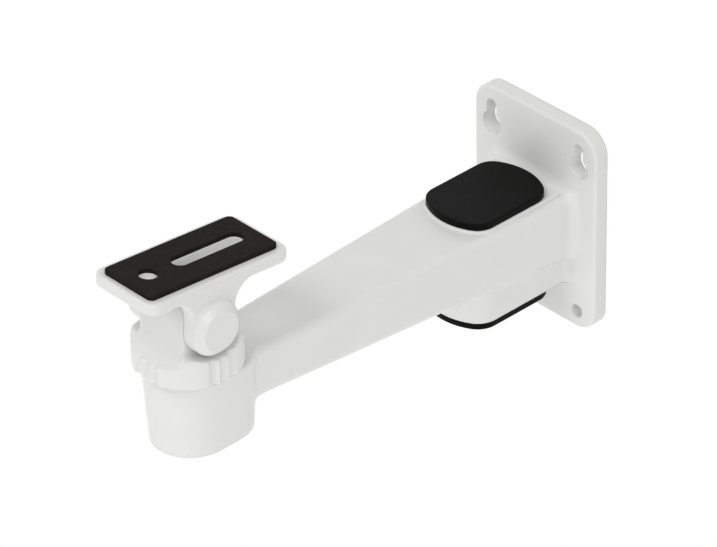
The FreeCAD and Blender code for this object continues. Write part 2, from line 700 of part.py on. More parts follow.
def make_platform():
    """Plate with slot and hole for the camera, and two cheeks that straddle the tongue."""
    body = new_body("camera_platform")
    underside = "(PlatformRise - PlatformThickness)"
    slab = new_sketch(body, "XY_Plane", underside)
    front, back = "(PlatformShift - PlatformLength / 2)", "(PlatformShift + PlatformLength / 2)"
    corner = "PlatformCorner"
    rounded_box(slab, "-PlatformHalf", "PlatformHalf", front, back, corner, corner)
    extrude(body, "Pad", slab, "PlatformThickness")
    levels = (number(underside), number("PlatformRise"))
    dress(body, "Chamfer", "PlatformEdge", lambda e: flat_at(e, "Z", levels[0]) or flat_at(e, "Z", levels[1]))

    inside = "(TongueHalf + CheekGap)"
    into = "(PlatformRise - PlatformEdge)"
    for way in (1, -1):
        cheek = new_sketch(body, "YZ_Plane", inside if way > 0 else "-PlatformHalf")
        outline(cheek, [
            ("-CheekRadius", "0"),
            ("0", "-CheekRadius", "CheekRadius", 1),
            ("CheekRadius", "0", "CheekRadius", 1),
            ("CheekRadius", f"{underside} - RearFlare"),
            ("CheekRadius + RearFlare", underside, "RearFlare", -1),
            ("CheekRadius + RearFlare", into),
            ("-CheekRadius - FrontFlare", into),
            ("-CheekRadius - FrontFlare", underside),
            ("-CheekRadius", f"{underside} - FrontFlare", "FrontFlare", -1),
        ])
        extrude(body, "Pad", cheek, f"PlatformHalf - {inside}")
    outer, low = number("PlatformHalf"), -number("CheekRadius")
    dress(body, "Chamfer", "CheekEdge", lambda e: (flat_at(e, "X", outer) or flat_at(e, "X", -outer))
          and e.BoundBox.ZMax < levels[0] + 0.01 and e.BoundBox.ZMin > low - 1)

    face = "PlatformHalf"
    for way in ("", "-"):
        boss = new_sketch(body, "XY_Plane")
        outline(boss, [
            (f"{way}({face} - BossRoot)", "0"),
            (f"{way}({face} - BossRoot)", "CheekRadius"),
            (f"{way}({face} + BossStraight)", "CheekRadius"),
            (f"{way}({face} + BossShoulder)", "BossWaist"),
            (f"{way}({face} + BossHeight)", "BossFace"),
            (f"{way}({face} + BossHeight)", "0"),
        ])
        turned(body, boss, "X_Axis")

    slot = new_sketch(body, "XY_Plane", "PlatformRise")
    obround(slot, "SlotHalf", "-SlotFront", "SlotBack")
    extrude(body, "Pocket", slot, "PlatformThickness")
    pin = new_sketch(body, "XY_Plane", "PlatformRise")
    circle(pin, "0", "-PinHoleReach", "PinHoleRadius")
    extrude(body, "Pocket", pin, "PlatformThickness")

    crown = f"({face} + BossHeight)"
    for way, depth in (("-", "HeadSeatDepth"), ("", "CapSeatDepth")):
        steps = (("CounterRadius", "BossHeight - BossSeat"), ("SpannerRadius", f"BossHeight + {depth}"))
        for radius, deep in steps:
            seat = new_sketch(body, "YZ_Plane", f"{way}{crown}")
            circle(seat, "0", "0", radius)
            extrude(body, "Pocket", seat, deep, way == "-")
    hexes = new_sketch(body, "YZ_Plane", "PlatformHalf - CapSeatDepth")
    hexagon(hexes, "TiltHeadFlat + 2 * HexPlay")
    extrude(body, "Pocket", hexes, "NutSeatDepth - CapSeatDepth")
    bore = new_sketch(body, "YZ_Plane", "PlatformHalf")
    circle(bore, "0", "0", "TiltShank + ShankPlay")
    extrude(body, "Pocket", bore, "2 * PlatformHalf")
    at_tilt(body)
    return body


def make_pad():
    """Thin soft pad on the platform, with the same slot and hole a little wider."""
    body = new_body("platform_pad")
    sheet_sketch = new_sketch(body, "XY_Plane", "PlatformRise")
    front, back = "(PadShift - PadLength / 2)", "(PadShift + PadLength / 2)"
    rounded_box(sheet_sketch, "-PadHalf", "PadHalf", front, back, "PadCorner", "PadCorner")
    obround(sheet_sketch, "(SlotHalf + PadMargin)", "-SlotFront", "SlotBack")
    circle(sheet_sketch, "0", "-PinHoleReach", "PinHoleRadius + PadMargin")
    extrude(body, "Pad", sheet_sketch, "PadThickness")
    top = number("PlatformRise + PadThickness")
    dress(body, "Chamfer", "PadEdge", lambda e: flat_at(e, "Z", top))
    at_tilt(body)
    return body


def make_pan_bolt():
    """Hexagon bolt from below into the swivel base."""
    body = new_body("pan_bolt")
    under = f"({pan_stack} - PanWasherThickness - PanSpringThickness)"
    head = new_sketch(body, "XY_Plane", under)
    hexagon(head, "PanHeadFlat")
    extrude(body, "Pad", head, "PanHeadHeight", True)
    shank = new_sketch(body, "XY_Plane", under)
    circle(shank, "0", "0", "PanShank")
    extrude(body, "Pad", shank, "PanWasherThickness + PanSpringThickness + SpigotGap + PanThreadReach")
    tip = number(f"{pan_stack} + SpigotGap + PanThreadReach")
    dress(body, "Chamfer", "ShankEnd", lambda e: flat_at(e, "Z", tip))
    at_pan(body)
    return body


def make_tilt_bolt():
    """Hexagon bolt across the cheeks and the tongue."""
    body = new_body("tilt_bolt")
    seat = "(PlatformHalf - HeadSeatDepth + TiltWasherThickness + TiltSpringThickness)"
    head = new_sketch(body, "YZ_Plane", f"-{seat}")
    hexagon(head, "TiltHeadFlat")
    extrude(body, "Pad", head, "TiltHeadHeight", True)
    shank = new_sketch(body, "YZ_Plane", f"-{seat}")
    circle(shank, "0", "0", "TiltShank")
    end = "(PlatformHalf - NutSeatDepth + TiltNutHeight + ShankEnd)"
    extrude(body, "Pad", shank, f"{seat} + {end}")
    tip = number(end)
    dress(body, "Chamfer", "ShankEnd / 2", lambda e: flat_at(e, "X", tip))
    at_tilt(body)
    return body


def make_tilt_nut():
    """Hexagon nut held in the pocket of one cheek."""
    body = new_body("tilt_nut")
    face = new_sketch(body, "YZ_Plane", "PlatformHalf - NutSeatDepth")
    hexagon(face, "TiltHeadFlat")
    circle(face, "0", "0", "TiltShank + HexPlay")
    extrude(body, "Pad", face, "TiltNutHeight")
    at_tilt(body)
    return body


def make_tilt_cap(label, way):
    """Plug over a bolt end, flush in the boss of a cheek, on the side +X for 1 and -X for -1."""
    body = new_body(label)
    section = new_sketch(body, "XY_Plane")
    face = "PlatformHalf"
    outside = "(CounterRadius - BossPlay)"
    outline(section, [
        (f"{way} * ({face} + BossHeight - BossWall)", "BossBore"),
        (f"{way} * ({face} + BossHeight - BossWall)", "0"),
        (f"{way} * ({face} + BossHeight)", "0"),
        (f"{way} * ({face} + BossHeight)", outside),
        (f"{way} * ({face} + BossSeat)", outside),
        (f"{way} * ({face} + BossSeat)", "BossBore"),
    ])
    turned(body, section, "X_Axis")
    outer = way * number("PlatformHalf + BossHeight")
    dress(body, "Chamfer", "BossEdge", lambda e: flat_at(e, "X", outer) and e.Length > 1)
    at_tilt(body)
    return body


parts = [
    make_arm_casting(),
    make_cable_cap("top_cable_cap", cap_seat, 1),
    make_cable_cap("bottom_cable_cap", "-HouseDrop", -1),
    make_swivel_base(),
    make_pan_bolt(),
    make_platform(),
    make_pad(),
    make_tilt_bolt(),
    make_tilt_nut(),
    make_tilt_cap("tilt_cap_right", 1),
    make_tilt_cap("tilt_cap_left", -1),
]
rings = [
    ("swivel_friction_ring", at_pan, "Z_Axis", "-RingThickness", "RingThickness", "SpigotRadius + RingPlay",
     "RingRadius", 360),
    ("pan_flat_washer", at_pan, "Z_Axis", f"{pan_stack} - PanWasherThickness", "PanWasherThickness",
     "PanShank + ShankPlay", "PanWasherRadius", 360),
    ("pan_lock_washer", at_pan, "Z_Axis", f"{pan_stack} - PanWasherThickness - PanSpringThickness",
     "PanSpringThickness", "PanShank + ShankPlay", "PanSpringRadius", 360 - number("SpringGapAngle")),
    ("tilt_flat_washer", at_tilt, "X_Axis", "-(PlatformHalf - HeadSeatDepth + TiltWasherThickness)",
     "TiltWasherThickness", "TiltShank + ShankPlay", "TiltWasherRadius", 360),
    ("tilt_lock_washer", at_tilt, "X_Axis",
     "-(PlatformHalf - HeadSeatDepth + TiltWasherThickness + TiltSpringThickness)", "TiltSpringThickness",
     "TiltShank + ShankPlay", "TiltSpringRadius", 360 - number("SpringGapAngle")),
]
for label, place, role, start, height, inner, outer, turn in rings:
    washer = ring(label, role, start, height, inner, outer, turn)
    place(washer)
    parts.append(washer)
doc.recompute()

os.makedirs("parts", exist_ok=True)
for feature in doc.Objects:
    if "Invalid" in feature.State or "Error" in feature.State:
        raise ValueError(f"{feature.Name} is {feature.State}")
for part in parts:
    if part.Shape.isNull() or not part.Shape.isValid() or len(part.Shape.Solids) != 1:
        raise ValueError(f"{part.Label} isn't one valid solid")
    part.Shape.exportStep(f"parts/{part.Label}.step")
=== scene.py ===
import json
import math

import bmesh
import bpy
from mathutils import Matrix, Vector


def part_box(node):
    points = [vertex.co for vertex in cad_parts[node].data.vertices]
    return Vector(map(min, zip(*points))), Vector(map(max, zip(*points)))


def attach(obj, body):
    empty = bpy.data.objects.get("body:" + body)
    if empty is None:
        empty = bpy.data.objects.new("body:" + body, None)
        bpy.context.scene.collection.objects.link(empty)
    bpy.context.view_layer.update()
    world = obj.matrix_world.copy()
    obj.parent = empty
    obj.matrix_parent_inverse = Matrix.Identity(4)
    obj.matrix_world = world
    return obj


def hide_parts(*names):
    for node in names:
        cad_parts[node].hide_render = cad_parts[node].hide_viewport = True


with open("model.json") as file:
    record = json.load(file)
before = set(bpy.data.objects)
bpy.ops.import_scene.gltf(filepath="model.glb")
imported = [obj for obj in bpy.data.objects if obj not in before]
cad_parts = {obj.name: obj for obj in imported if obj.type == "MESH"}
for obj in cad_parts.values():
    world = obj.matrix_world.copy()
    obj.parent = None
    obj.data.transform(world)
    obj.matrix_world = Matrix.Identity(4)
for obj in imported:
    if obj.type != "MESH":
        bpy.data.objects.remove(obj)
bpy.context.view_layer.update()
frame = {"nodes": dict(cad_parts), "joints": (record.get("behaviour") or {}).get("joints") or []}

nodes = frame["nodes"]
print("bracket: frame loaded with", len(nodes), "pieces")


def newMaterial(name):
    material = bpy.data.materials.new(name)
    material.use_nodes = True
    tree = material.node_tree
    tree.nodes.clear()
    output = tree.nodes.new("ShaderNodeOutputMaterial")
    surface = tree.nodes.new("ShaderNodeBsdfPrincipled")
    tree.links.new(surface.outputs["BSDF"], output.inputs["Surface"])
    return material, tree, surface


def addNode(tree, kind, settings=None, values=None, links=None):
    node = tree.nodes.new(kind)
    for key, value in (settings or {}).items():
        setattr(node, key, value)
    for key, value in (values or {}).items():
        node.inputs[key].default_value = value
    for key, source in (links or {}).items():
        tree.links.new(source, node.inputs[key])
    return node


# one texture for all finishes: a fine grain and broad soft patches, each between 0 and 1
def makeGrainGroup():
    group = bpy.data.node_groups.new("grain and patches", "ShaderNodeTree")
    group.interface.new_socket("Grain Scale", in_out="INPUT", socket_type="NodeSocketFloat")
    group.interface.new_socket("Patch Scale", in_out="INPUT", socket_type="NodeSocketFloat")
    group.interface.new_socket("Grain", in_out="OUTPUT", socket_type="NodeSocketFloat")
    group.interface.new_socket("Patch", in_out="OUTPUT", socket_type="NodeSocketFloat")
    given = group.nodes.new("NodeGroupInput")
    place = addNode(group, "ShaderNodeTexCoord").outputs["Object"]
    grain = addNode(group, "ShaderNodeTexNoise", values={"Detail": 3.0, "Roughness": 0.6},
                    links={"Vector": place, "Scale": given.outputs["Grain Scale"]})
    patch = addNode(group, "ShaderNodeTexNoise", values={"Detail": 3.0, "Roughness": 0.55},
                    links={"Vector": place, "Scale": given.outputs["Patch Scale"]})
    addNode(group, "NodeGroupOutput", links={"Grain": grain.outputs["Fac"], "Patch": patch.outputs["Fac"]})
    return group


grainGroup = makeGrainGroup()

# powder paint on the castings: soft edges, faint mottling and orange peel
powderPaint = {"color": (0.80, 0.80, 0.78, 1), "shade": (0.76, 0.76, 0.74, 1), "patchScale": 55.0,
               "grainScale": 900.0, "grainDepth": 0.00006, "strength": 0.35, "roughness": (0.27, 0.36),
               "softEdge": 0.0005, "sheen": 0.5}
# the same paint runs thicker over the edges of the long casting
armPaint = dict(powderPaint, softEdge=0.0011)
# black moulded covers with a fine grain
blackCover = {"color": (0.002, 0.002, 0.002, 1), "shade": (0.005, 0.005, 0.005, 1), "patchScale": 90.0,
              "grainScale": 700.0, "grainDepth": 0.00012, "strength": 0.5, "roughness": (0.34, 0.48),
              "softEdge": 0.0003, "sheen": 0.06}
# soft rubber pad, coarser and duller
softPad = {"color": (0.006, 0.005, 0.004, 1), "shade": (0.018, 0.015, 0.012, 1), "patchScale": 260.0,
           "grainScale": 1400.0, "grainDepth": 0.00020, "strength": 0.6, "roughness": (0.70, 0.90),
           "softEdge": 0.0002, "sheen": 0.12}
# friction ring under the swivel base
greyNylon = {"color": (0.30, 0.30, 0.30, 1), "shade": (0.34, 0.34, 0.33, 1), "patchScale": 120.0,
             "grainScale": 500.0, "grainDepth": 0.00004, "strength": 0.3, "roughness": (0.38, 0.50),
             "softEdge": 0.0002, "sheen": 0.5}
# zinc plating on the bolts, washers and nut: fine marks and patches of yellowish film
zincPlate = {"color": (0.62, 0.63, 0.65, 1), "shade": (0.55, 0.53, 0.48, 1), "patchScale": 120.0,
             "grainScale": 2500.0, "grainDepth": 0.00002, "strength": 0.3, "roughness": (0.28, 0.42),
             "softEdge": 0.0002, "sheen": 0.5, "metal": 1.0}


def makeFinish(name, look):
    material, tree, surface = newMaterial(name)
    texture = addNode(tree, "ShaderNodeGroup", {"node_tree": grainGroup},
                      {"Grain Scale": look["grainScale"], "Patch Scale": look["patchScale"]})
    mix = addNode(tree, "ShaderNodeMix", {"data_type": "RGBA"}, links={"Factor": texture.outputs["Patch"]})
    mix.inputs[6].default_value = look["color"]
    mix.inputs[7].default_value = look["shade"]
    smooth, dull = look["roughness"]
    gloss = addNode(tree, "ShaderNodeMapRange", values={"To Min": smooth, "To Max": dull},
                    links={"Value": texture.outputs["Grain"]})
    soft = addNode(tree, "ShaderNodeBevel", {"samples": 8}, {"Radius": look["softEdge"]})
    bump = addNode(tree, "ShaderNodeBump",
                   values={"Strength": look["strength"], "Distance": look["grainDepth"]},
                   links={"Height": texture.outputs["Grain"], "Normal": soft.outputs["Normal"]})
    tree.links.new(mix.outputs[2], surface.inputs["Base Color"])
    tree.links.new(gloss.outputs["Result"], surface.inputs["Roughness"])
    tree.links.new(bump.outputs["Normal"], surface.inputs["Normal"])
    surface.inputs["Specular IOR Level"].default_value = look["sheen"]
    surface.inputs["Metallic"].default_value = look.get("metal", 0.0)
    return material


whitePaint = makeFinish("powder paint", powderPaint)
armWhite = makeFinish("powder paint on the arm", armPaint)
coverBlack = makeFinish("black cover plastic", blackCover)
padBlack = makeFinish("black pad rubber", softPad)
nylon = makeFinish("grey nylon", greyNylon)
zinc = makeFinish("zinc plate", zincPlate)
finishes = {
    "arm_casting": armWhite, "swivel_base": whitePaint, "camera_platform": whitePaint,
    "tilt_cap_right": whitePaint, "tilt_cap_left": whitePaint,
    "top_cable_cap": coverBlack, "bottom_cable_cap": coverBlack, "platform_pad": padBlack,
    "swivel_friction_ring": nylon,
}
for name, node in nodes.items():
    node.data.materials.clear()
    node.data.materials.append(finishes.get(name, zinc))
print("bracket: finishes done")


# outlines are lists of points in mm, counterclockwise
def arcPoints(x, y, radius, start, end, steps):
    angles = [math.radians(start + (end - start) * step / steps) for step in range(steps + 1)]
    return [(x + radius * math.cos(angle), y + radius * math.sin(angle)) for angle in angles]


def roundedBox(left, right, low, high, corner):
    return (arcPoints(right - corner, low + corner, corner, -90, 0, 10)
            + arcPoints(right - corner, high - corner, corner, 0, 90, 10)
            + arcPoints(left + corner, high - corner, corner, 90, 180, 10)
            + arcPoints(left + corner, low + corner, corner, 180, 270, 10))


def obround(radius, near, far):
    return arcPoints(0, far, radius, 0, 180, 24) + arcPoints(0, near, radius, 180, 360, 24)


def circlePoints(radius, y=0.0, steps=64):
    return arcPoints(0, y, radius, 0, 360, steps)[:-1]


def hexagonPoints(flats):
    return arcPoints(0, 0, flats / 2 / math.cos(math.radians(30)), 0, 360, 6)[:-1]


# the loop moved inwards by the inset, with its corners mitred
def shifted(loop, inset):
    moved = []
    for number, (x, y) in enumerate(loop):
        before, after = loop[number - 1], loop[(number + 1) % len(loop)]
        first = Vector((x - before[0], y - before[1])).normalized()
        second = Vector((after[0] - x, after[1] - y)).normalized()
        firstSide, secondSide = Vector((-first.y, first.x)), Vector((-second.y, second.x))
        side = (firstSide + secondSide) / (1 + firstSide.dot(secondSide))
        moved.append((x + inset * side.x, y + inset * side.y))
    return moved


# insets and levels of the rings that round the lower and upper edge, with a flat margin at both ends
def roundedRings(low, high, lowEdge, highEdge, steps=5, margin=0.25):
    rings = []
    for step in range(steps + 1):
        turn = math.radians(90 * step / steps)
        rings.append((lowEdge * (1 - math.sin(turn)), low + lowEdge * (1 - math.cos(turn))))
    for step in range(steps + 1):
        turn = math.radians(90 * step / steps)
        rings.append((highEdge * (1 - math.cos(turn)), high - highEdge * (1 - math.sin(turn))))
    return [(lowEdge + margin, low)] + rings + [(highEdge + margin, high)]


# a plate with rounded edges and holes; place turns (across, along, level) into a point of the mesh
def addSheet(shape, outer, holes, low, high, lowEdge, highEdge, place, holeEdge=0.15):
    ends = ([], [])
    loops = [(outer, 1, (lowEdge, highEdge))] + [(hole, -1, (holeEdge, holeEdge)) for hole in holes]
    for loop, way, edges in loops:
        rows = []
        for inset, level in roundedRings(low, high, *edges):
            rows.append([shape.verts.new(place(x, y, level)) for x, y in shifted(loop, way * inset)])
        for lower, upper in zip(rows, rows[1:]):
            for number in range(len(loop)):
                after = (number + 1) % len(loop)
                shape.faces.new((lower[number], lower[after], upper[after], upper[number]))
        for end, row in zip(ends, (rows[0], rows[-1])):
            for number in range(len(loop)):
                end.append(shape.edges.get((row[number], row[(number + 1) % len(loop)])))
    for end in ends:
        bmesh.ops.triangle_fill(shape, use_beauty=True, edges=end)


# a closed ring turned about the first axis; the section is (along, radius) in mm
def addTurned(shape, section, place, steps=96):
    rows = []
    for step in range(steps):
        angle = 2 * math.pi * step / steps
        rows.append([shape.verts.new(place(radius * math.cos(angle), radius * math.sin(angle), along))
                     for along, radius in section])
    for step in range(steps):
        row, after = rows[step], rows[(step + 1) % steps]
        for number in range(len(section)):
            other = (number + 1) % len(section)
            shape.faces.new((row[number], row[other], after[other], after[number]))


def finishPiece(name, shape, material, body=None, replaced=None, smoothAngle=40):
    bmesh.ops.remove_doubles(shape, verts=shape.verts, dist=1e-7)
    bmesh.ops.recalc_face_normals(shape, faces=shape.faces)
    mesh = bpy.data.meshes.new(name)
    shape.to_mesh(mesh)
    shape.free()
    mesh.materials.append(material)
    mesh.polygons.foreach_set("use_smooth", [True] * len(mesh.polygons))
    mesh.set_sharp_from_angle(angle=math.radians(smoothAngle))
    piece = bpy.data.objects.new(name, mesh)
    bpy.context.scene.collection.objects.link(piece)
    if body:
        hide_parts(replaced)
        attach(piece, body)
    return piece


# pieces are drawn in mm round the axis that they turn on; the platform stands 5 degrees nose up
axes = {joint["name"]: Vector(joint["pos_m"]) for joint in frame["joints"]}
shownTilt = 5.0
millimetres = Matrix.Scale(0.001, 4)
panFrame = Matrix.Translation(axes["pan"]) @ millimetres
tiltFrame = Matrix.Translation(axes["tilt"]) @ Matrix.Rotation(math.radians(-shownTilt), 4, "X") @ millimetres
sideways = Matrix(((0, 0, 1, 0), (1, 0, 0, 0), (0, 1, 0, 0), (0, 0, 0, 1)))  # level runs along x


def placer(matrix):
    return lambda across, along, level: matrix @ Vector((across, along, level))


# the pad, from the tilt axis; its slot and hole lie over those of the platform
pad = {
    "half": 14.2, "length": 66.0, "shift": 3.2, "low": 20.6, "thickness": 2.0, "corner": 2.4,
    "edge": 0.4, "footEdge": 0.05, "holeEdge": 0.3,
    "slotHalf": 3.7, "slotNear": -2.6, "slotFar": 25.8, "holeReach": -18.9, "holeRadius": 3.9,
}


def makePad():
    shape = bmesh.new()
    front, back = pad["shift"] - pad["length"] / 2, pad["shift"] + pad["length"] / 2
    outer = roundedBox(-pad["half"], pad["half"], front, back, pad["corner"])
    slot = obround(pad["slotHalf"], pad["slotNear"], pad["slotFar"])
    hole = circlePoints(pad["holeRadius"], pad["holeReach"])
    addSheet(shape, outer, [slot, hole], pad["low"], pad["low"] + pad["thickness"],
             pad["footEdge"], pad["edge"], placer(tiltFrame), pad["holeEdge"])
    finishPiece("soft_pad", shape, padBlack, "platform", "platform_pad")


makePad()
print("bracket: pad done")

# the covers over the cable openings: a lid, a skirt inside the opening and two hooked legs
cover = {
    "half": 17.6, "length": 48.4, "bow": 26.2, "corner": 8.9, "reach": -35.5, "height": 3.1,
    "edge": 0.6, "footEdge": 0.1, "lowerRim": 1.2, "top": 17.2, "bottom": -27.5,
    "ledge": 3.35, "skirtWall": 1.4, "skirtDepth": 3.6, "skirtRoot": 0.4,
    "skirtEdge": 0.2, "skirtRootEdge": 0.05,
    "legWidth": 12.0, "legReach": 0.7, "legDepth": 2.2, "legRoot": 0.3, "wall": 4.75,
}


def barrelPoints(margin):
    half, bow, corner = cover["half"] + margin, cover["bow"] + margin, cover["corner"] + margin
    rise = math.sqrt((bow - corner) ** 2 - (half - corner) ** 2)
    middle = cover["length"] / 2 - cover["bow"]
    turn = math.degrees(math.atan2(rise, half - corner))
    points = []
    for way in (1, -1):
        quarter = arcPoints(half - corner, middle + rise, corner, 0, turn, 10)
        crown = arcPoints(0, middle, bow, turn, 180 - turn, 24)
        other = arcPoints(corner - half, middle + rise, corner, 180 - turn, 180, 10)
        points += [(way * x, way * y) for x, y in quarter + crown[1:-1] + other]
    return [(x, y + cover["reach"]) for x, y in points]


def makeCover(name, replaced, level, way):
    shape = bmesh.new()
    turned = millimetres @ Matrix(((1, 0, 0, 0), (0, 1, 0, 0), (0, 0, way, level), (0, 0, 0, 1)))
    place = placer(turned)
    rim = cover["lowerRim"] if way < 0 else 0  # the lower cover reaches out to the wall of the housing
    addSheet(shape, barrelPoints(rim), [], 0, cover["height"], cover["footEdge"], cover["edge"], place)
    outside, inside = -cover["ledge"], -cover["ledge"] - cover["skirtWall"]
    addSheet(shape, barrelPoints(outside), [barrelPoints(inside)], -cover["skirtDepth"], cover["skirtRoot"],
             cover["skirtEdge"], cover["skirtRootEdge"], place)
    far = cover["half"] - cover["ledge"]
    near = far - cover["skirtWall"]
    deep, root = cover["wall"] + cover["legDepth"], cover["legRoot"]
    leg = [(near, root), (near, -deep), (far - cover["skirtWall"] / 2, -deep),
           (far + cover["legReach"], -cover["wall"]), (far, -cover["wall"]), (far, root)]
    middle, half = cover["reach"], cover["legWidth"] / 2
    for side in (1, -1):
        rows = [[shape.verts.new(place(side * x, middle + y, z)) for x, z in leg] for y in (-half, half)]
        for number in range(len(leg)):
            after = (number + 1) % len(leg)
            shape.faces.new((rows[0][number], rows[0][after], rows[1][after], rows[1][number]))
        shape.faces.new(rows[0])
        shape.faces.new(rows[1])
    finishPiece(name, shape, coverBlack, "arm", replaced)


makeCover("top_cover", "top_cable_cap", cover["top"], 1)
makeCover("bottom_cover", "bottom_cable_cap", cover["bottom"], -1)
print("bracket: covers done")


# closed shells in mm become one casting: joined by a fine remesh, softened, thinned and put in place
def castPiece(name, shape, look, frameMatrix, body, replaced):
    rough = finishPiece(name + "_shells", shape, whitePaint)
    settings = [("REMESH", {"mode": "VOXEL", "voxel_size": look["voxel"]}),
                ("SMOOTH", {"factor": 0.5, "iterations": look["smoothing"]}),
                ("DECIMATE", {"ratio": look["share"]})]
    for kind, values in settings:
        modifier = rough.modifiers.new(kind.lower(), kind)
        for key, value in values.items():
            setattr(modifier, key, value)
    mesh = bpy.data.meshes.new_from_object(rough.evaluated_get(bpy.context.evaluated_depsgraph_get()))
    bpy.data.objects.remove(rough)
    mesh.name = name
    mesh.transform(frameMatrix)
    mesh.polygons.foreach_set("use_smooth", [True] * len(mesh.polygons))
    piece = bpy.data.objects.new(name, mesh)
    bpy.context.scene.collection.objects.link(piece)
    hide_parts(replaced)
    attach(piece, body)
    print("bracket:", name, "has", len(mesh.polygons), "faces")


# the platform, from the tilt axis: a slab on two cheeks with a boss on each
# seat depths are measured from a cheek's outer face, shoulder and faceRim are (out or back, radius) steps
platform = {
    "half": 17.9, "length": 72.4, "shift": 3.7, "low": 15.4, "high": 20.6, "corner": 5.5,
    "lowEdge": 1.2, "highEdge": 0.9, "slotHalf": 3.3, "pinRadius": 3.5,
    "cheekInside": 13.1, "cheekRadius": 11.7, "cheekEdge": 2.0, "cheekInnerEdge": 0.4, "cheekSink": 1.0,
    "cheekBore": 9.5, "frontFlare": 8.8, "rearFlare": 10.0,
    "bossEnd": 22.5, "bossFace": 8.55, "bossRoot": 2.4, "bossRootInset": 0.02, "bossInside": 9.0,
    "shoulder": [(0.7, 0.0), (1.3, 0.06), (1.8, 0.28), (2.2, 0.66)],
    "faceRim": [(0.45, 0.42), (0.22, 0.16), (0.1, 0.0)],
    "seatRing": 10.5, "seatOverlap": 0.3, "seatEdge": 0.05, "boltBore": 3.2, "spannerBore": 7.7,
    "nutFlats": 10.2, "pocketDepth": 3.0, "nutSeatDepth": 1.5, "headSeatDepth": 3.3,
    "plugRadius": 8.65, "plugSeat": 2.0, "plugFootEdge": 0.1, "plugEdge": 0.15,
    "voxel": 0.34, "smoothing": 2, "share": 0.45,
}


def cheekPoints():
    radius, top, low = platform["cheekRadius"], platform["high"] - platform["cheekSink"], platform["low"]
    front, rear = platform["frontFlare"], platform["rearFlare"]
    return (arcPoints(0, 0, radius, 180, 360, 48)
            + arcPoints(radius + rear, low - rear, rear, 180, 90, 14)
            + [(radius + rear, top), (-radius - front, top)]
            + arcPoints(-radius - front, low - front, front, 90, 0, 14))


# the boss runs over a soft shoulder and a straight chamfer to its face, and back along the bore to the seat
def bossSection(seat):
    face, radius, inside = platform["half"], platform["cheekRadius"], platform["bossInside"]
    root, bore, bottom = face - platform["bossRoot"], platform["spannerBore"], seat - platform["seatOverlap"]
    shoulder = [(face + out, radius - inset) for out, inset in platform["shoulder"]]
    rim = [(platform["bossEnd"] - back, platform["bossFace"] + wider) for back, wider in platform["faceRim"]]
    return ([(root, inside), (root, radius - platform["bossRootInset"])] + shoulder + rim
            + [(rim[-1][0], bore), (bottom, bore), (bottom, inside)])


def makePlatform():
    shape = bmesh.new()
    face, low, edge = platform["half"], platform["cheekInside"], platform["seatEdge"]
    front, back = platform["shift"] - platform["length"] / 2, platform["shift"] + platform["length"] / 2
    slab = roundedBox(-face, face, front, back, platform["corner"])
    slot = obround(platform["slotHalf"], pad["slotNear"], pad["slotFar"])
    pin = circlePoints(platform["pinRadius"], pad["holeReach"])
    addSheet(shape, slab, [slot, pin], platform["low"], platform["high"],
             platform["lowEdge"], platform["highEdge"], placer(Matrix.Identity(4)))
    ring, bore = circlePoints(platform["seatRing"]), circlePoints(platform["boltBore"])
    for side in (1, -1):
        across = placer(Matrix.Diagonal((side, 1, 1, 1)) @ sideways)
        seat = face - platform["nutSeatDepth" if side > 0 else "headSeatDepth"]
        floor = face - platform["pocketDepth"] if side > 0 else seat
        addSheet(shape, cheekPoints(), [circlePoints(platform["cheekBore"])], low, face,
                 platform["cheekInnerEdge"], platform["cheekEdge"], across)
        addSheet(shape, ring, [bore], low, floor, edge, edge, across, edge)
        if side > 0:
            pocket = hexagonPoints(platform["nutFlats"])
            addSheet(shape, ring, [pocket], floor - platform["seatOverlap"], seat, edge, edge, across, edge)
        addTurned(shape, bossSection(seat), across)
    castPiece("platform_body", shape, platform, tiltFrame, "platform", "camera_platform")


def makePlugs():
    for name, side, replaced in (("right_plug", 1, "tilt_cap_right"), ("left_plug", -1, "tilt_cap_left")):
        shape = bmesh.new()
        across = placer(tiltFrame @ Matrix.Diagonal((side, 1, 1, 1)) @ sideways)
        inner = platform["half"] + platform["plugSeat"]
        addSheet(shape, circlePoints(platform["plugRadius"], 0, 96), [], inner, platform["bossEnd"],
                 platform["plugFootEdge"], platform["plugEdge"], across)
        finishPiece(name, shape, whitePaint, "platform", replaced)


makePlatform()
makePlugs()
print("bracket: platform done")

# the swivel base, from the pan axis and the seat; rim holds the height of the edge by the place along y
base = {
    "radius": 22.3, "edge": 1.1, "foot": 0.4, "spigot": 9.0, "spigotDrop": 5.5, "bore": 3.5,
    "fluteRadius": 2.5, "fluteDepth": 1.4, "fluteStep": 12.0, "fluteTurn": -2.0,
    "tongueHalf": 12.9, "tongueRadius": 12.0, "tongueEdge": 0.8, "tongueFoot": 5.0, "boltBore": 3.2,
    "axisForward": -1.5, "axisHeight": 24.4, "dishRadius": 8.6, "dishTop": 17.5, "dishEnd": 10.0,
    "crownRise": 0.6, "blendStart": 11.2, "blendWidth": 3.4, "sunk": 0.25, "sunkMargin": 0.15,
    "voxel": 0.34, "smoothing": 3, "share": 0.45,
    "rim": [
        (-23.0, 8.8), (-20.0, 8.95), (-18.2, 9.35), (-17.2, 10.1), (-16.4, 11.6), (-15.6, 12.7), (-14.4, 13.3),
        (-13.0, 13.4), (-11.5, 13.1), (-10.0, 12.5), (-7.0, 11.7), (-4.0, 11.2), (-1.0, 11.1), (2.0, 11.3),
        (5.6, 12.3), (8.0, 13.4), (9.8, 14.1), (11.6, 14.4), (13.4, 14.1), (15.0, 13.2), (16.2, 11.8),
        (17.2, 10.1), (18.2, 9.35), (20.0, 8.95), (23.0, 8.8),
    ],
}


def rimHeight(y):
    points = base["rim"]
    for (low, first), (high, second) in zip(points, points[1:]):
        if y <= high:
            share = max(0.0, (y - low) / (high - low))
            return first + (second - first) * share
    return points[-1][1]


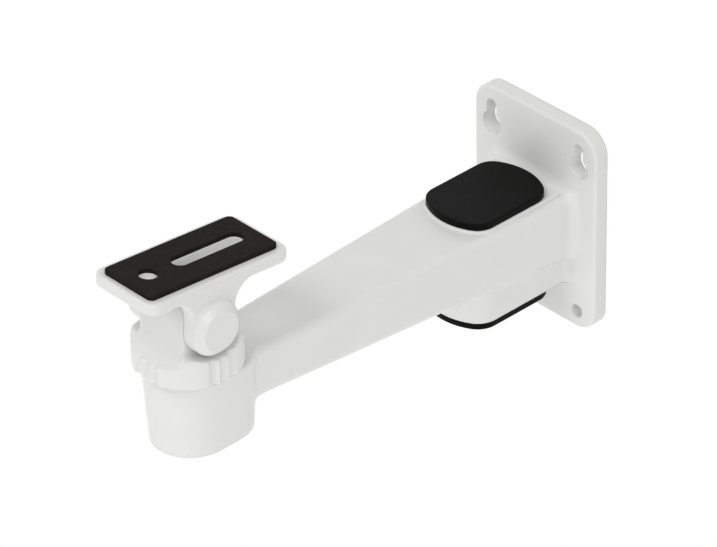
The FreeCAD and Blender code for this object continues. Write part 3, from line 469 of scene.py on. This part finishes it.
# the dish between the lip of the base and the tongue, in front of it and behind it
def dishHeight(y):
    radius, front = base["dishRadius"], base["axisForward"] - base["tongueRadius"]
    away = max(front - y, y - (front + 2 * base["tongueRadius"]))
    if away <= 0:
        return base["dishTop"]
    if away >= radius:
        return base["dishTop"] - radius
    return base["dishTop"] - math.sqrt(radius ** 2 - (radius - away) ** 2)


# the top of the disc: dish in the middle and rim at the sides, a little sunk below the tongue's own foot
def baseHeight(x, y):
    side = rimHeight(y)
    share = min(1.0, max(0.0, (abs(x) - base["blendStart"]) / base["blendWidth"]))
    share = share * share * (3 - 2 * share)
    sunk = base["sunk"] if dishHeight(y) > base["dishEnd"] + base["sunkMargin"] else 0.0
    return min(side + base["crownRise"], dishHeight(y) - sunk) * (1 - share) + side * share


# four groups of three grip flutes
def flutedRadius(angle):
    radius, flute = base["radius"], base["fluteRadius"]
    middle = radius + flute - base["fluteDepth"]
    for group in range(4):
        for number in (-1, 0, 1):
            away = math.radians(base["fluteTurn"] + 90 * group + base["fluteStep"] * number) - angle
            across = middle * math.sin(away)
            if math.cos(away) > 0 and abs(across) < flute:
                radius = min(radius, middle * math.cos(away) - math.sqrt(flute ** 2 - across ** 2))
    return radius


# the fluted disc with its spigot below: one closed section for each of the steps round the pan axis
def addDisc(shape, steps=720, spans=34):
    foot, edge, bore = base["foot"], base["edge"], base["bore"]
    spigot, low = base["spigot"], -base["spigotDrop"]
    rows = []
    for step in range(steps):
        angle = 2 * math.pi * step / steps
        outer = flutedRadius(angle)
        across, along = math.cos(angle), math.sin(angle)
        row = [(bore, low), (spigot, low), (spigot, 0.0), (outer - foot, 0.0), (outer, foot)]
        rim = baseHeight(outer * across, outer * along)
        row += [(outer, foot + (rim - edge - foot) * share) for share in (0.25, 0.5, 0.75, 1.0)]
        for turn in (18, 36, 54, 72, 90):
            row.append((outer - edge * (1 - math.cos(math.radians(turn))),
                        rim - edge * (1 - math.sin(math.radians(turn)))))
        inner = outer - edge
        for span in range(1, spans):
            reach = inner + (bore - inner) * span / spans
            row.append((reach, baseHeight(reach * across, reach * along)))
        row.append((bore, baseHeight(bore * across, bore * along)))
        rows.append([shape.verts.new((reach * across, reach * along, level)) for reach, level in row])
    for step in range(steps):
        row, after = rows[step], rows[(step + 1) % steps]
        for number in range(len(row)):
            other = (number + 1) % len(row)
            shape.faces.new((row[number], row[other], after[other], after[number]))


def tonguePoints():
    y, z, radius, dish = base["axisForward"], base["axisHeight"], base["tongueRadius"], base["dishRadius"]
    top, front, rear = base["dishTop"], y - radius, y + radius
    turn = math.degrees(math.asin((top - base["dishEnd"]) / dish))
    reach = dish - dish * math.cos(math.radians(turn))
    return ([(front - reach, base["tongueFoot"]), (rear + reach, base["tongueFoot"])]
            + arcPoints(rear + dish, top, dish, 180 + turn, 180, 20) + arcPoints(y, z, radius, 0, 180, 48)
            + arcPoints(front - dish, top, dish, 0, -turn, 20))


def makeBase():
    shape = bmesh.new()
    addDisc(shape)
    across = placer(sideways)
    bolt = arcPoints(base["axisForward"], base["axisHeight"], base["boltBore"], 0, 360, 32)[:-1]
    addSheet(shape, tonguePoints(), [bolt], -base["tongueHalf"], base["tongueHalf"], base["tongueEdge"],
             base["tongueEdge"], across)
    castPiece("base_body", shape, base, panFrame, "swivel", "swivel_base")


makeBase()
print("bracket: base done")

# screw sizes in mm; head is the height of the head and thread the length of the thread
screws = {
    "pan": {"radius": 4.0, "depth": 0.5, "pitch": 1.25, "flats": 13.0, "head": 5.3, "thread": 18.0},
    "tilt": {"radius": 3.0, "depth": 0.4, "pitch": 1.0, "flats": 10.0, "head": 4.0, "thread": 14.0},
}


# a ridge wound round a core, with the radius, depth, pitch and number of turns as its sizes
def makeThreadTree():
    tree = bpy.data.node_groups.new("screw thread", "GeometryNodeTree")
    for name, size in (("Radius", 0.004), ("Depth", 0.0005), ("Pitch", 0.00125), ("Turns", 12.0)):
        socket = tree.interface.new_socket(name, in_out="INPUT", socket_type="NodeSocketFloat")
        socket.default_value = size
    tree.interface.new_socket("Material", in_out="INPUT", socket_type="NodeSocketMaterial")
    tree.interface.new_socket("Geometry", in_out="OUTPUT", socket_type="NodeSocketGeometry")
    given = tree.nodes.new("NodeGroupInput").outputs
    middle = addNode(tree, "ShaderNodeMath", {"operation": "SUBTRACT"},
                     links={0: given["Radius"], 1: given["Depth"]}).outputs[0]
    length = addNode(tree, "ShaderNodeMath", {"operation": "MULTIPLY"},
                     links={0: given["Pitch"], 1: given["Turns"]}).outputs[0]
    ridge = addNode(tree, "GeometryNodeCurveSpiral", values={"Resolution": 24},
                    links={"Rotations": given["Turns"], "Start Radius": middle, "End Radius": middle,
                           "Height": length})
    profile = addNode(tree, "GeometryNodeCurvePrimitiveCircle", values={"Resolution": 6},
                      links={"Radius": given["Depth"]})
    swept = addNode(tree, "GeometryNodeCurveToMesh", values={"Fill Caps": True},
                    links={"Curve": ridge.outputs["Curve"], "Profile Curve": profile.outputs["Curve"]})
    core = addNode(tree, "GeometryNodeMeshCylinder", values={"Vertices": 32},
                   links={"Radius": middle, "Depth": length})
    half = addNode(tree, "ShaderNodeMath", {"operation": "MULTIPLY"}, {1: 0.5}, {0: length})
    lift = addNode(tree, "ShaderNodeCombineXYZ", links={"Z": half.outputs[0]})
    raised = addNode(tree, "GeometryNodeTransform", links={"Geometry": core.outputs["Mesh"],
                                                           "Translation": lift.outputs["Vector"]})
    joined = addNode(tree, "GeometryNodeJoinGeometry")
    tree.links.new(swept.outputs["Mesh"], joined.inputs["Geometry"])
    tree.links.new(raised.outputs["Geometry"], joined.inputs["Geometry"])
    real = addNode(tree, "GeometryNodeRealizeInstances", links={"Geometry": joined.outputs["Geometry"]})
    painted = addNode(tree, "GeometryNodeSetMaterial", links={"Geometry": real.outputs["Geometry"],
                                                              "Material": given["Material"]})
    addNode(tree, "NodeGroupOutput", links={"Geometry": painted.outputs["Geometry"]})
    return tree


threadTree = makeThreadTree()


def threadMesh(look, turns):
    holder = bpy.data.objects.new("thread", bpy.data.meshes.new("thread"))
    bpy.context.scene.collection.objects.link(holder)
    modifier = holder.modifiers.new("thread", "NODES")
    modifier.node_group = threadTree
    values = {"Radius": look["radius"] / 1000, "Depth": look["depth"] / 1000, "Pitch": look["pitch"] / 1000,
              "Turns": float(turns), "Material": zinc}
    for item in threadTree.interface.items_tree:
        if item.in_out == "INPUT":
            modifier[item.identifier] = values[item.name]
    mesh = bpy.data.meshes.new_from_object(holder.evaluated_get(bpy.context.evaluated_depsgraph_get()))
    bpy.data.objects.remove(holder)
    return mesh


# bolt details in mm; crown is a share of the width over flats, slope the rise of the corner chamfer
bolt = {"crown": 0.47, "slope": 0.55, "tip": 0.6, "axis": 0.02, "shortest": 1.0, "headOverlap": 0.3,
        "coreOverlap": 0.5, "coreDepth": 1.2, "runOut": 1.0}


def hexRadius(angle, flats):
    return flats / 2 / math.cos(math.radians(angle % 60 - 30))


# a hexagon head with its corners turned off, from level 0 down to minus its height
def addHead(shape, flats, height, place, steps=72):
    circle = bolt["crown"] * flats
    angles = [360 * step / steps for step in range(steps)]
    corners = [hexRadius(angle, flats) for angle in angles]
    seat = [(corner, 0) for corner in corners]
    side = [(corner, -height + (corner - circle) * bolt["slope"]) for corner in corners]
    crown = [(circle, -height)] * steps
    middle = [(circle / 2, -height)] * steps
    rows = []
    for ring in (seat, side, crown, middle):
        rows.append([shape.verts.new(place(reach * math.cos(turn), reach * math.sin(turn), level))
                     for (reach, level), turn in zip(ring, map(math.radians, angles))])
    for upper, lower in zip(rows, rows[1:]):
        for step in range(steps):
            after = (step + 1) % steps
            shape.faces.new((upper[step], upper[after], lower[after], lower[step]))
    shape.faces.new(rows[0])
    shape.faces.new(rows[-1])


def addShank(shape, radius, low, high, place, steps=32):
    tip, axis = bolt["tip"], bolt["axis"]
    section = [(low, axis), (low, radius), (high - tip, radius), (high, radius - tip), (high, axis)]
    addTurned(shape, section, place, steps)


def makeBolt(name, replaced, body, look, place, length):
    shape = bmesh.new()
    points = placer(place)
    addHead(shape, look["flats"], look["head"], points)
    plain = max(length - look["thread"], bolt["shortest"])
    addShank(shape, look["radius"], -bolt["headOverlap"], plain, points)
    addShank(shape, look["radius"] - look["depth"] * bolt["coreDepth"], plain - bolt["coreOverlap"],
             length, points)
    turns = int((length - plain - bolt["runOut"]) / look["pitch"])
    thread = threadMesh(look, turns)
    start = Matrix.Translation((0, 0, plain / 1000 + look["depth"] / 1000))
    thread.transform(place @ Matrix.Scale(1000, 4) @ start)
    shape.from_mesh(thread)
    bpy.data.meshes.remove(thread)
    finishPiece(name, shape, zinc, body, replaced, 35)


# the length of each bolt comes from its solid
def makeBolts():
    look = screws["pan"]
    low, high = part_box("pan_bolt")
    head = look["head"] / 1000
    place = Matrix.Translation((0, axes["pan"].y, low.z + head)) @ millimetres
    makeBolt("pan_screw", "pan_bolt", "swivel", look, place, (high.z - low.z - head) * 1000)
    look = screws["tilt"]
    low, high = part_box("tilt_bolt")
    head = look["head"] / 1000
    along = Matrix(((0, 0, 1, low.x * 1000 + look["head"]), (1, 0, 0, 0), (0, 1, 0, 0), (0, 0, 0, 1)))
    makeBolt("tilt_screw", "tilt_bolt", "platform", look, tiltFrame @ along, (high.x - low.x - head) * 1000)


makeBolts()
print("bracket: bolts done")


# floor, white surroundings and soft lamps
studio = {
    "floorHeight": -0.30,
    "floorSize": 12.0,
    "floorColor": (0.90, 0.90, 0.90, 1),
    "floorRoughness": 0.9,
    "white": (1, 1, 1, 1),
    "worldStrength": 0.61,
    "lamps": [
        {"place": (0.0, -1.6, 2.2), "aim": (0.0, -0.11, 0.0), "size": 1.1, "power": 14.6},
        {"place": (2.0, -0.8, 1.6), "aim": (0.0, -0.11, 0.0), "size": 1.2, "power": 10.7},
        {"place": (-2.2, -1.4, 0.4), "aim": (0.0, -0.11, 0.0), "size": 1.2, "power": 3.4},
        {"place": (0.1, -0.7, -0.07), "aim": (0.1, -0.7, -0.3), "size": 1.2, "power": 2.6},
    ],
}


# 1 where a camera, transmission or glossy ray meets the surface, otherwise 0
def seenDirectly(tree):
    paths = addNode(tree, "ShaderNodeLightPath")
    first = addNode(tree, "ShaderNodeMath", {"operation": "MAXIMUM"},
                    links={0: paths.outputs["Is Camera Ray"], 1: paths.outputs["Is Transmission Ray"]})
    both = addNode(tree, "ShaderNodeMath", {"operation": "MAXIMUM"},
                   links={0: first.outputs[0], 1: paths.outputs["Is Glossy Ray"]})
    return both.outputs[0]


def makeFloor():
    half, level = studio["floorSize"] / 2, studio["floorHeight"]
    corners = [(-half, -half, level), (half, -half, level), (half, half, level), (-half, half, level)]
    mesh = bpy.data.meshes.new("floor")
    mesh.from_pydata(corners, [], [(0, 1, 2, 3)])
    floor = bpy.data.objects.new("floor", mesh)
    bpy.context.scene.collection.objects.link(floor)
    material, tree, surface = newMaterial("pale floor")
    surface.inputs["Base Color"].default_value = studio["floorColor"]
    surface.inputs["Roughness"].default_value = studio["floorRoughness"]
    seen = seenDirectly(tree)
    white = addNode(tree, "ShaderNodeEmission", values={"Color": studio["white"], "Strength": 1.0})
    mixed = addNode(tree, "ShaderNodeMixShader",
                    links={0: seen, 1: surface.outputs["BSDF"], 2: white.outputs[0]})
    output = next(node for node in tree.nodes if node.type == "OUTPUT_MATERIAL")
    tree.links.new(mixed.outputs[0], output.inputs["Surface"])
    mesh.materials.append(material)


def makeWorld():
    world = bpy.data.worlds.new("studio")
    bpy.context.scene.world = world
    world.use_nodes = True
    tree = world.node_tree
    tree.nodes.clear()
    seen = seenDirectly(tree)
    soft = addNode(tree, "ShaderNodeBackground",
                   values={"Color": studio["white"], "Strength": studio["worldStrength"]})
    white = addNode(tree, "ShaderNodeBackground", values={"Color": studio["white"], "Strength": 1.0})
    mixed = addNode(tree, "ShaderNodeMixShader", links={0: seen, 1: soft.outputs[0], 2: white.outputs[0]})
    output = addNode(tree, "ShaderNodeOutputWorld")
    tree.links.new(mixed.outputs[0], output.inputs["Surface"])


def makeLamps():
    for number, lamp in enumerate(studio["lamps"]):
        data = bpy.data.lights.new(f"lamp{number}", "AREA")
        data.shape = "DISK"
        data.size = lamp["size"]
        data.energy = lamp["power"]
        lampObject = bpy.data.objects.new(f"lamp{number}", data)
        lampObject.location = lamp["place"]
        direction = Vector(lamp["aim"]) - Vector(lamp["place"])
        lampObject.rotation_euler = direction.to_track_quat("-Z", "Y").to_euler()
        lampObject.visible_camera = False
        bpy.context.scene.collection.objects.link(lampObject)


makeFloor()
makeWorld()
makeLamps()
print("bracket: studio done")

# the photograph's viewpoint: place in metres, angles in degrees, sensor in mm, focal and width in pixels
viewpoint = {
    "place": (1.1915, -1.2074, 1.1024), "azimuth": 47.270, "elevation": 33.860, "roll": -1.158,
    "focal": 4869.75, "width": 717, "sensor": 36.0, "farthest": 100.0,
}


def makeCamera():
    azimuth, elevation, roll = (math.radians(viewpoint[key]) for key in ("azimuth", "elevation", "roll"))
    back = Vector((math.sin(azimuth) * math.cos(elevation), -math.cos(azimuth) * math.cos(elevation),
                   math.sin(elevation)))
    level = Vector((math.cos(azimuth), math.sin(azimuth), 0))
    upward = back.cross(level)
    right = math.cos(roll) * level + math.sin(roll) * upward
    up = -math.sin(roll) * level + math.cos(roll) * upward
    data = bpy.data.cameras.new("viewpoint")
    data.sensor_fit = "HORIZONTAL"
    data.sensor_width = viewpoint["sensor"]
    data.lens = viewpoint["focal"] / viewpoint["width"] * viewpoint["sensor"]
    data.clip_end = viewpoint["farthest"]
    camera = bpy.data.objects.new("viewpoint", data)
    turn = Matrix((right, up, back)).transposed().to_4x4()
    camera.matrix_world = Matrix.Translation(Vector(viewpoint["place"])) @ turn
    bpy.context.scene.collection.objects.link(camera)
    bpy.context.scene.camera = camera


makeCamera()
bpy.context.scene.view_settings.view_transform = "Standard"

print("bracket: ready")
